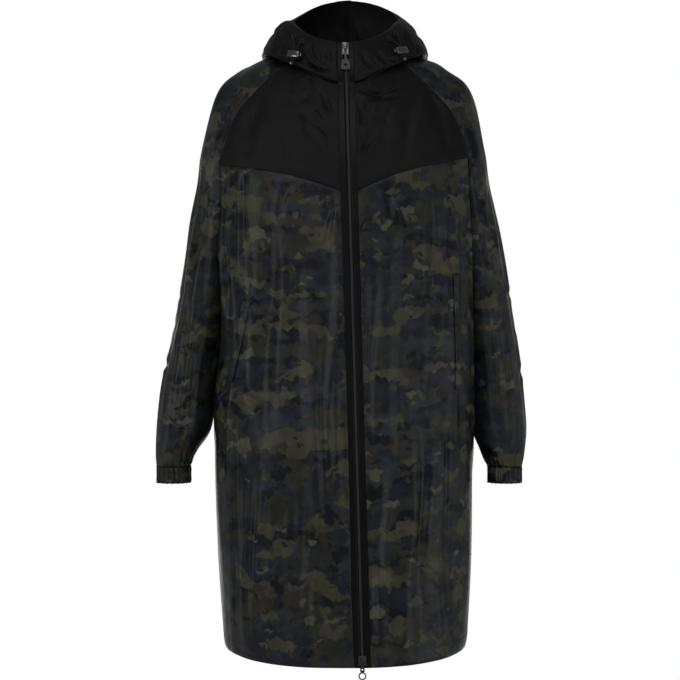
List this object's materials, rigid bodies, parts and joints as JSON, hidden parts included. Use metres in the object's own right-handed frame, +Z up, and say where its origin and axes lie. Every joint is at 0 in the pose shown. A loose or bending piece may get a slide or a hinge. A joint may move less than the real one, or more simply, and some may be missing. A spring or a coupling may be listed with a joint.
{
  "type": "rain jacket",
  "caption": "Long hooded rain jacket, hollow as worn: black hood and yokes, patterned body, raglan sleeves with gathered cuffs, front zip, side pockets and hood cords.",
  "frame": {"origin": "the neck point: level with the high shoulder points, midway between them", "axes": "+Z up towards the hood, -Y out of the jacket's front, +X to the wearer's left arm"},
  "size_m": [0.5755, 0.36, 1.0413],
  "materials": {
    "black_cloth": "thin smooth woven polyester",
    "printed_cloth": "thin smooth woven polyester with a dark blotched pattern",
    "zip_tape": "smooth water-repellent tape",
    "zip_metal": "gloss black",
    "cord": "braided cord",
    "lock_plastic": "black moulded plastic"
  },
  "bodies": {
    "jacket": {"back": "printed_cloth", "yoke_left": "black_cloth", "yoke_right": "black_cloth", "front_left": "printed_cloth", "front_right": "printed_cloth", "sleeve_left": "printed_cloth", "sleeve_right": "printed_cloth", "cuff_left": "printed_cloth", "cuff_right": "printed_cloth", "hood_left": "black_cloth", "hood_right": "black_cloth", "zip_tape_left": "zip_tape", "zip_tape_right": "zip_tape", "pocket_left": "printed_cloth", "pocket_right": "printed_cloth", "slider_top": "zip_metal", "slider_bottom": "zip_metal", "cord_lock_left": "lock_plastic", "cord_lock_right": "lock_plastic", "lock_button_left": "lock_plastic", "lock_button_right": "lock_plastic", "cord_ball_left": "lock_plastic", "cord_ball_right": "lock_plastic", "cord_left_inner": "cord", "cord_left_outer": "cord", "cord_right_inner": "cord", "cord_right_outer": "cord", "eyelet_left_inner": "zip_metal", "eyelet_left_outer": "zip_metal", "eyelet_right_inner": "zip_metal", "eyelet_right_outer": "zip_metal"},
    "top_pull": {"pull_top": "zip_metal"},
    "bottom_pull": {"pull_bottom": "zip_metal"}
  },
  "joints": [
    {"name": "top_pull_hinge", "type": "hinge", "parent": "jacket", "child": "top_pull", "pos_m": [0.00129, -0.107, 0.00292], "axis": [-1, 0, 0], "range_deg": [0, 150]},
    {"name": "bottom_pull_hinge", "type": "hinge", "parent": "jacket", "child": "bottom_pull", "pos_m": [0.02616, -0.15925, -0.91293], "axis": [-1, 0, 0], "range_deg": [0, 150]}
  ]
}
